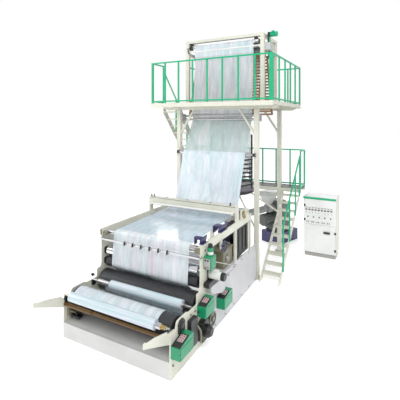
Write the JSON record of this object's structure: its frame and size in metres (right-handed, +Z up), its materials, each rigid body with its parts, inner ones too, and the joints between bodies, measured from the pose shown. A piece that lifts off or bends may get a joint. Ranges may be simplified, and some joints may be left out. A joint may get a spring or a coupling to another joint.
{
  "type": "blown film extrusion machine",
  "caption": "Blown film extrusion line with a die and film bubble in a railed tower, a surface winder in front, stairs, platforms and a separate control cabinet.",
  "frame": {"origin": "floor under the die's vertical axis, at the underside of the die stand's base plate", "axes": "+Z up, -Y from the die towards the winder, +X towards the lower stair and the control cabinet"},
  "size_m": [4.087, 7.5353, 5.6937],
  "materials": {
    "green_paint": "satin",
    "cream_paint": "satin",
    "black_rubber": "satin",
    "rolled_film": "gloss",
    "clear_film": "gloss",
    "steel": "satin",
    "dark_steel": "satin",
    "black_paint": "satin",
    "grey_sheet": "satin",
    "dark_sheet": "satin",
    "wood_slats": "satin",
    "base_blue": "satin",
    "cabinet_paint": "satin"
  },
  "bodies": {
    "line": {"air_blower": "black_paint", "air_ring": "black_paint", "base_deck": "dark_sheet", "base_panels": "cream_paint", "bearing_blocks": "dark_steel", "belt_guard": "grey_sheet", "bubble_cage": "dark_steel", "cabinet_body": "cabinet_paint", "collapsing_boards": "wood_slats", "cross_beam": "cream_paint", "cross_tubes": "dark_steel", "die_head": "steel", "drive_boxes": "green_paint", "extruder_barrel": "steel", "extruder_base": "base_blue", "extruder_drive": "base_blue", "film_bubble": "clear_film", "film_web": "clear_film", "front_panel": "grey_sheet", "guide_bars": "cream_paint", "knee_braces": "cream_paint", "mid_rails": "green_paint", "platform_beams_x": "cream_paint", "platform_beams_y": "cream_paint", "platform_floors": "dark_sheet", "side_drives": "dark_steel", "slitter_bar": "steel", "stair_handrails": "green_paint", "stair_stringers": "cream_paint", "stair_treads": "dark_sheet", "take_up_rails": "cream_paint", "top_drive": "green_paint", "top_frame_beams": "cream_paint", "top_frame_uprights": "cream_paint", "tower_posts": "cream_paint", "tray_panel": "grey_sheet", "unload_arms": "cream_paint", "upper_rail_front": "green_paint", "upper_rail_left": "green_paint", "upper_rail_rear": "green_paint", "upper_rail_right": "green_paint", "wheel_plate": "cream_paint", "winder_side_plates": "cream_paint"},
    "winding_drum_front": {"winding_drum_front": "black_rubber"},
    "winding_drum_rear": {"winding_drum_rear": "black_rubber"},
    "film_roll_front": {"film_roll_front": "rolled_film", "winding_shaft_front": "steel"},
    "film_roll_rear": {"film_roll_rear": "rolled_film", "winding_shaft_rear": "steel"},
    "nip_rubber_roller": {"nip_rubber_roller": "black_rubber"},
    "nip_steel_roller": {"nip_steel_roller": "steel"},
    "top_guide_roller": {"top_guide_roller": "steel"},
    "turn_roller": {"turn_roller": "steel"},
    "idler_roller": {"idler_roller": "steel"},
    "tower_top_roller": {"tower_top_roller": "steel"},
    "nip_roller_front": {"nip_roller_front": "steel"},
    "nip_roller_rear": {"nip_roller_rear": "black_rubber"},
    "hand_wheel": {"hand_wheel": "dark_steel"},
    "cabinet_lower_door": {"cabinet_lower_door": "cabinet_paint"},
    "cabinet_instrument_door": {"cabinet_instrument_door": "cabinet_paint"}
  },
  "joints": [
    {"name": "winding_drum_front_turn", "type": "hinge", "parent": "line", "child": "winding_drum_front", "pos_m": [0, -4.265, 0.545], "axis": [1, 0, 0], "continuous": true},
    {"name": "winding_drum_rear_turn", "type": "hinge", "parent": "line", "child": "winding_drum_rear", "pos_m": [0, -3.625, 0.62], "axis": [1, 0, 0], "continuous": true},
    {"name": "film_roll_front_turn", "type": "hinge", "parent": "line", "child": "film_roll_front", "pos_m": [0, -4.49883, 0.68], "axis": [1, 0, 0], "continuous": true},
    {"name": "film_roll_rear_turn", "type": "hinge", "parent": "line", "child": "film_roll_rear", "pos_m": [0, -3.88388, 0.69668], "axis": [1, 0, 0], "continuous": true},
    {"name": "nip_rubber_roller_turn", "type": "hinge", "parent": "line", "child": "nip_rubber_roller", "pos_m": [0, -3.545, 0.94], "axis": [1, 0, 0], "continuous": true},
    {"name": "nip_steel_roller_turn", "type": "hinge", "parent": "line", "child": "nip_steel_roller", "pos_m": [0, -3.54, 1.13], "axis": [1, 0, 0], "continuous": true},
    {"name": "top_guide_roller_turn", "type": "hinge", "parent": "line", "child": "top_guide_roller", "pos_m": [0, -3.53, 1.465], "axis": [1, 0, 0], "continuous": true},
    {"name": "turn_roller_turn", "type": "hinge", "parent": "line", "child": "turn_roller", "pos_m": [0, -1.58, 1.65], "axis": [1, 0, 0], "continuous": true},
    {"name": "idler_roller_turn", "type": "hinge", "parent": "line", "child": "idler_roller", "pos_m": [0, -1.03, 2.78], "axis": [1, 0, 0], "continuous": true},
    {"name": "tower_top_roller_turn", "type": "hinge", "parent": "line", "child": "tower_top_roller", "pos_m": [0, -0.45, 5.45], "axis": [1, 0, 0], "continuous": true},
    {"name": "nip_roller_front_turn", "type": "hinge", "parent": "line", "child": "nip_roller_front", "pos_m": [0, -0.087, 5.3], "axis": [1, 0, 0], "continuous": true},
    {"name": "nip_roller_rear_turn", "type": "hinge", "parent": "line", "child": "nip_roller_rear", "pos_m": [0, 0.087, 5.3], "axis": [1, 0, 0], "continuous": true},
    {"name": "hand_wheel_turn", "type": "hinge", "parent": "line", "child": "hand_wheel", "pos_m": [1.1, -2.88, 1.33], "axis": [1, 0, 0], "continuous": true},
    {"name": "lower_door_swing", "type": "hinge", "parent": "line", "child": "cabinet_lower_door", "pos_m": [2.457, 0.983, 0.5], "axis": [0, 0, 1], "range_deg": [0, 110]},
    {"name": "instrument_door_swing", "type": "hinge", "parent": "line", "child": "cabinet_instrument_door", "pos_m": [1.663, 0.983, 1.2], "axis": [0, 0, -1], "range_deg": [0, 90]}
  ]
}
